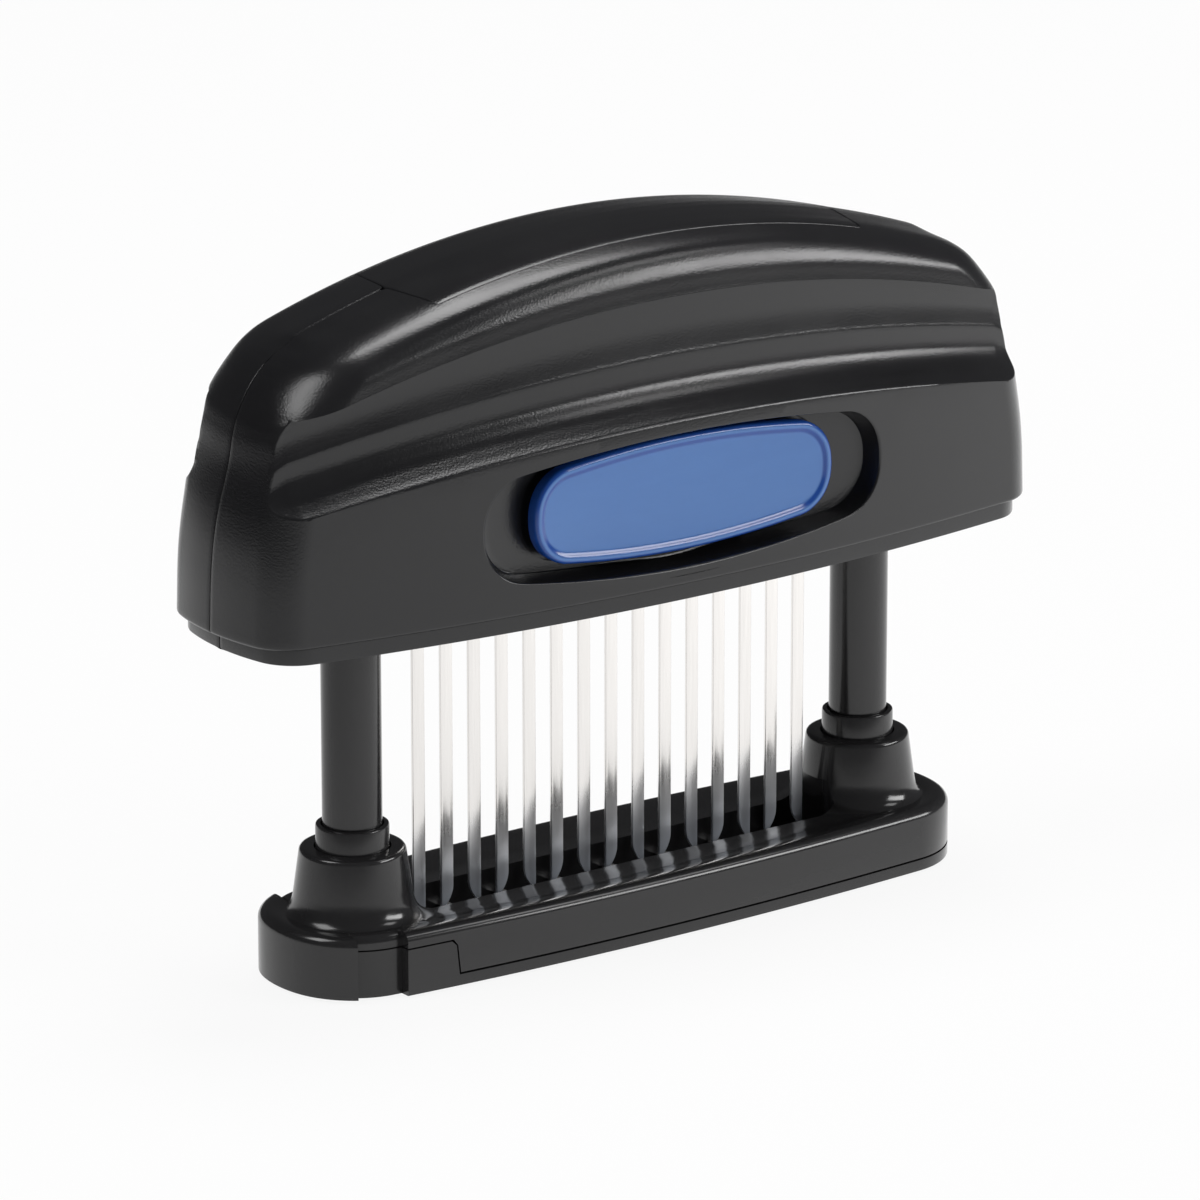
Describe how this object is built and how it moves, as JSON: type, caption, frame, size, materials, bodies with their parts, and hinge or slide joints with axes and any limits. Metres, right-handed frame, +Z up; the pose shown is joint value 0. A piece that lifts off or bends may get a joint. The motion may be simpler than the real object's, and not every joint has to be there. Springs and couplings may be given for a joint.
{
  "type": "blade meat tenderizer",
  "caption": "Press handle that slides on two sprung columns and drives a row of thin blades through the slots of a long base.",
  "frame": {"origin": "middle of the base's underside, on the surface that the tool is set on", "axes": "+Z up along the columns, X along the row of blades, -Y towards the front of the picture"},
  "size_m": [0.1704, 0.0494, 0.129],
  "materials": {
    "black_satin": "satin, finely grained",
    "black_gloss": "glossy",
    "blue_plastic": "glossy",
    "white_plastic": "as moulded",
    "fastener_steel": "drawn",
    "blade_steel": "satin, ground tips"
  },
  "bodies": {
    "base": {"base_frame": "black_gloss", "bottom_plate": "black_gloss", "column_left": "black_gloss", "column_right": "black_gloss", "column_collar_left": "black_gloss", "column_collar_right": "black_gloss", "column_cap_left": "white_plastic", "column_cap_right": "white_plastic", "column_screw_left": "fastener_steel", "column_screw_right": "fastener_steel", "return_spring_left": "fastener_steel", "return_spring_right": "fastener_steel"},
    "end_clip": {"end_clip": "black_gloss"},
    "handle": {"front_shell": "black_satin", "back_shell": "black_satin", "guide_bush_left": "white_plastic", "guide_bush_right": "white_plastic", "spring_plunger_left": "fastener_steel", "spring_plunger_right": "fastener_steel", "button_spring_front": "fastener_steel", "button_spring_back": "fastener_steel", "shell_screw_1": "fastener_steel", "shell_screw_2": "fastener_steel", "shell_screw_3": "fastener_steel", "shell_screw_4": "fastener_steel"},
    "button_front": {"button_front": "blue_plastic", "latch_front": "white_plastic"},
    "button_back": {"button_back": "blue_plastic", "latch_back": "white_plastic"},
    "cartridge": {"top_cover": "black_satin", "carrier_front": "white_plastic", "carrier_back": "white_plastic", "carrier_rivet_1": "blade_steel", "carrier_rivet_2": "blade_steel", "carrier_rivet_3": "blade_steel", "carrier_rivet_4": "blade_steel", "blade_01": "blade_steel", "blade_02": "blade_steel", "blade_03": "blade_steel", "blade_04": "blade_steel", "blade_05": "blade_steel", "blade_06": "blade_steel", "blade_07": "blade_steel", "blade_08": "blade_steel", "blade_09": "blade_steel", "blade_10": "blade_steel", "blade_11": "blade_steel", "blade_12": "blade_steel", "blade_13": "blade_steel", "blade_14": "blade_steel", "blade_15": "blade_steel"}
  },
  "joints": [
    {"name": "handle_slide", "type": "slide", "parent": "base", "child": "handle", "axis": [0, 0, 1], "range_m": [-0.0365, 0], "stiffness_N_per_m": 420, "springref_m": 0.045, "deforming": ["return_spring_left", "return_spring_right"]},
    {"name": "cartridge_lift", "type": "slide", "parent": "handle", "child": "cartridge", "axis": [0, 0, 1], "range_m": [0, 0.13]},
    {"name": "button_front_push", "type": "slide", "parent": "handle", "child": "button_front", "axis": [0, 1, 0], "range_m": [0, 0.0024], "stiffness_N_per_m": 400, "springref_m": -0.006, "deforming": ["button_spring_front"]},
    {"name": "button_back_push", "type": "slide", "parent": "handle", "child": "button_back", "axis": [0, -1, 0], "range_m": [0, 0.0024], "stiffness_N_per_m": 400, "springref_m": -0.006, "deforming": ["button_spring_back"]},
    {"name": "end_clip_pull", "type": "slide", "parent": "base", "child": "end_clip", "axis": [-1, 0, 0], "range_m": [0, 0.006]}
  ]
}
